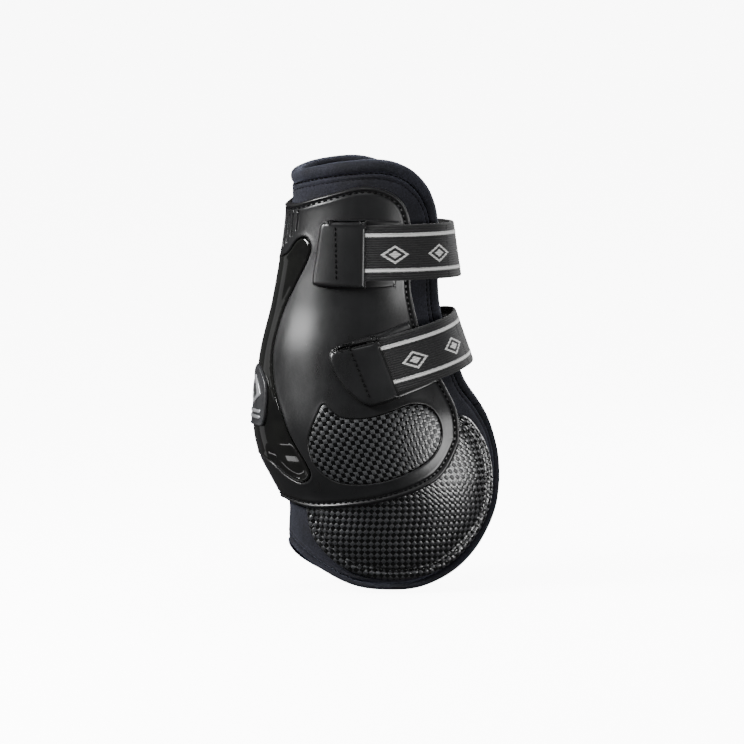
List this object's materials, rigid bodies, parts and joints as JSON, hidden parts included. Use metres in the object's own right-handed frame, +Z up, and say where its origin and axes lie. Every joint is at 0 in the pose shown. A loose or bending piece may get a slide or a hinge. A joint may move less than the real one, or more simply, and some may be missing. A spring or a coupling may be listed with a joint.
{
  "type": "hind fetlock boot",
  "caption": "Black horse leg boot: neoprene liner, moulded shell with gloss spine insert, woven pastern guard, two elastic hook-and-loop straps.",
  "frame": {"origin": "on the leg's axis, level with the boot's lowest edge", "axes": "+Z up the leg, +X to the open front of the boot, -X to the padded spine, -Y the side the straps are sewn to, +Y the side they fasten on"},
  "size_m": [0.1266, 0.1017, 0.2238],
  "materials": {
    "neoprene": "fine-knit face over dark navy-black neoprene foam, matte",
    "binding": "soft rolled edge in the same dark neoprene fabric, matte",
    "moulded_shell": "satin black moulded elastomer with a soft broad highlight",
    "gloss_insert": "polished black moulding, mirror-like clear gloss",
    "woven": "black square weave relief, semi-gloss to glossy",
    "badge": "dark grey satin plate with a raised blank crest",
    "webbing": "black ribbed elastic with two thin light grey stripes",
    "hook_loop": "black hook-and-loop tape, matte"
  },
  "bodies": {
    "boot": {"neoprene_liner": "neoprene", "collar_binding": "binding", "flap_binding": "binding", "moulded_shell": "moulded_shell", "spine_insert": "gloss_insert", "woven_inlay_near": "woven", "woven_inlay_far": "woven", "pastern_guard_near": "woven", "pastern_guard_far": "woven", "badge_plate": "badge", "upper_strap_anchor": "moulded_shell", "upper_elastic_sewn_end": "webbing", "upper_loop_pad": "hook_loop", "lower_strap_anchor": "moulded_shell", "lower_elastic_sewn_end": "webbing", "lower_loop_pad": "hook_loop"},
    "upper_near_run": {"upper_elastic_near_run": "webbing"},
    "upper_far_run": {"upper_elastic_far_run": "webbing"},
    "upper_tab": {"upper_pull_tab": "moulded_shell", "upper_elastic_tab_end": "webbing", "upper_hook_pad": "hook_loop"},
    "lower_near_run": {"lower_elastic_near_run": "webbing"},
    "lower_far_run": {"lower_elastic_far_run": "webbing"},
    "lower_tab": {"lower_pull_tab": "moulded_shell", "lower_elastic_tab_end": "webbing", "lower_hook_pad": "hook_loop"}
  },
  "joints": [
    {"name": "upper_strap_swing", "type": "hinge", "parent": "boot", "child": "upper_near_run", "pos_m": [-0.00858, -0.03787, 0.176], "axis": [0, -0.0543, -0.9985], "range_deg": [0, 50]},
    {"name": "upper_strap_unwrap", "type": "hinge", "parent": "upper_near_run", "child": "upper_far_run", "pos_m": [0.0488, 0, 0.176], "axis": [0.1483, 0, -0.9889], "range_deg": [0, 100]},
    {"name": "upper_strap_peel", "type": "hinge", "parent": "upper_far_run", "child": "upper_tab", "pos_m": [-0.00295, 0.04027, 0.176], "axis": [0, 0.0456, -0.999], "range_deg": [0, 50]},
    {"name": "lower_strap_swing", "type": "hinge", "parent": "boot", "child": "lower_near_run", "pos_m": [0.00179, -0.04544, 0.11853], "axis": [0.3339, -0.1832, -0.9246], "range_deg": [0, 22]},
    {"name": "lower_strap_unwrap", "type": "hinge", "parent": "lower_near_run", "child": "lower_far_run", "pos_m": [0.0524, 0, 0.1313], "axis": [0.3396, 0, -0.9406], "range_deg": [0, 44]},
    {"name": "lower_strap_peel", "type": "hinge", "parent": "lower_far_run", "child": "lower_tab", "pos_m": [0.00281, 0.04719, 0.11874], "axis": [0.334, 0.181, -0.925], "range_deg": [0, 50]}
  ],
  "couplings": [
    {"joint": "upper_strap_unwrap", "follows": "upper_strap_swing", "ratio": 2},
    {"joint": "lower_strap_unwrap", "follows": "lower_strap_swing", "ratio": 2}
  ]
}
